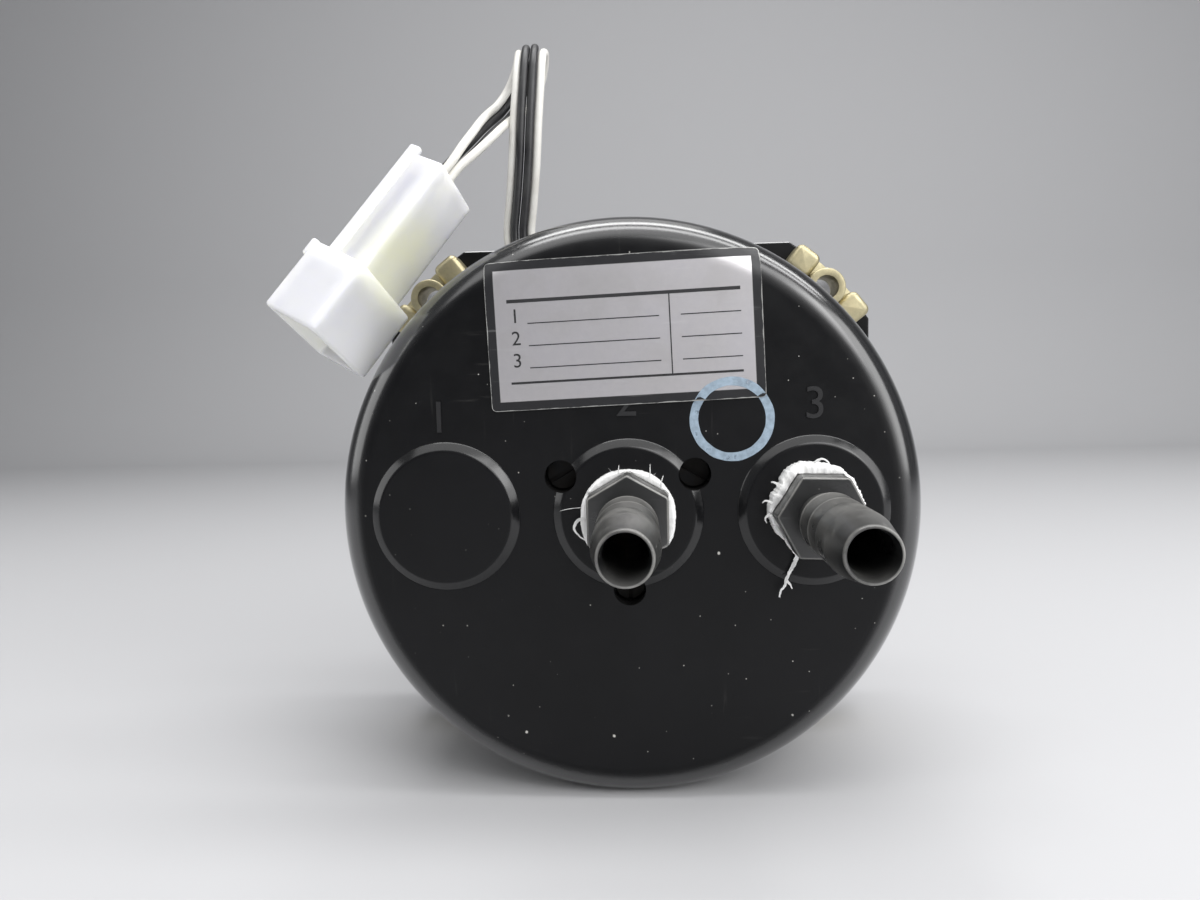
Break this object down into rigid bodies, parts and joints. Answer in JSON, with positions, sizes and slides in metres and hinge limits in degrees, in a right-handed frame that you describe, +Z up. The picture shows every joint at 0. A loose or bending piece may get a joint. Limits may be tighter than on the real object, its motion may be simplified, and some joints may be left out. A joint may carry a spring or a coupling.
{
  "type": "airspeed indicator",
  "caption": "Panel-mounted airspeed indicator with a moulded round case, geared capsule movement, barbed hose fittings at the rear and lighting leads with a plug housing.",
  "frame": {"origin": "centre of the panel face of the mounting flange, on the case axis", "axes": "-Y is the way the dial faces, +Y is towards the hose fittings, +Z is up, +X is right as seen from the front"},
  "size_m": [0.0871, 0.0727, 0.1102],
  "materials": {
    "case_black": "satin moulded",
    "bezel_black": "matt paint",
    "clear_glass": "polished",
    "clear_acrylic": "polished",
    "black_rubber": "matt",
    "board_green": "satin",
    "lamp_glass": "clear",
    "dial_black": "matt paint",
    "pointer_white": "matt paint",
    "gear_brass": "machined",
    "nut_brass": "dull plated",
    "bright_steel": "machined",
    "black_steel": "blacked",
    "plate_alloy": "satin",
    "capsule_bronze": "rolled sheet",
    "jewel_red": "polished",
    "fitting_nylon": "satin moulded",
    "thread_tape": "soft film",
    "label_foil": "brushed foil",
    "lead_white": "extruded",
    "lead_black": "extruded",
    "connector_nylon": "natural moulded",
    "contact_tin": "tinned"
  },
  "bodies": {
    "instrument": {"case": "case_black", "bezel_ring": "bezel_black", "cover_glass": "clear_glass", "glass_gasket": "black_rubber", "light_ring": "clear_acrylic", "lamp_board": "board_green", "lamp_bulbs": "lamp_glass", "dial_plate": "dial_black", "dial_screws": "black_steel", "dial_spacers": "gear_brass", "hairspring": "bright_steel", "hairspring_stud": "gear_brass", "front_plate": "plate_alloy", "rear_plate": "plate_alloy", "plate_pillars": "gear_brass", "plate_screws": "bright_steel", "jewel_bearings": "jewel_red", "rocker_bracket": "plate_alloy", "capsule_front": "capsule_bronze", "capsule_rear": "capsule_bronze", "mechanism_base": "plate_alloy", "base_posts": "gear_brass", "base_gasket": "black_rubber", "base_screws": "black_steel", "pitot_fitting": "fitting_nylon", "static_fitting": "fitting_nylon", "pitot_thread_tape": "thread_tape", "static_thread_tape": "thread_tape", "data_plate": "label_foil", "mounting_nuts": "nut_brass", "lead_grommet": "black_rubber", "lead_white_a": "lead_white", "lead_black_a": "lead_black", "lead_black_b": "lead_black", "lead_white_b": "lead_white", "connector_housing": "connector_nylon", "connector_contacts": "contact_tin"},
    "pointer_staff": {"pointer": "pointer_white", "handstaff": "bright_steel", "hairspring_collet": "gear_brass"},
    "sector": {"sector_gear": "gear_brass"},
    "rocker": {"rocking_shaft": "bright_steel"},
    "stud": {"capsule_stud": "bright_steel"}
  },
  "joints": [
    {"name": "pointer_turn", "type": "hinge", "parent": "instrument", "child": "pointer_staff", "pos_m": [0, 0.006, 0], "axis": [0, 1, 0], "range_deg": [0, 320], "stiffness_Nm_per_rad": 0.0005, "deforming": ["hairspring"]},
    {"name": "sector_turn", "type": "hinge", "parent": "instrument", "child": "sector", "pos_m": [-0.02259, 0.008, 0.00485], "axis": [0, 1, 0], "range_deg": [-32, 0]},
    {"name": "rocking_shaft_turn", "type": "hinge", "parent": "instrument", "child": "rocker", "pos_m": [0, 0.017, 0.00385], "axis": [-1, 0, 0], "range_deg": [0, 24]},
    {"name": "capsule_lift", "type": "slide", "parent": "instrument", "child": "stud", "axis": [0, -1, 0], "range_m": [0, 0.0016], "deforming": ["capsule_front"]}
  ],
  "couplings": [
    {"joint": "sector_turn", "follows": "pointer_turn", "ratio": -0.1},
    {"joint": "rocking_shaft_turn", "follows": "pointer_turn", "ratio": 0.075},
    {"joint": "capsule_lift", "follows": "pointer_turn", "m_per_rad": 0.000286}
  ]
}
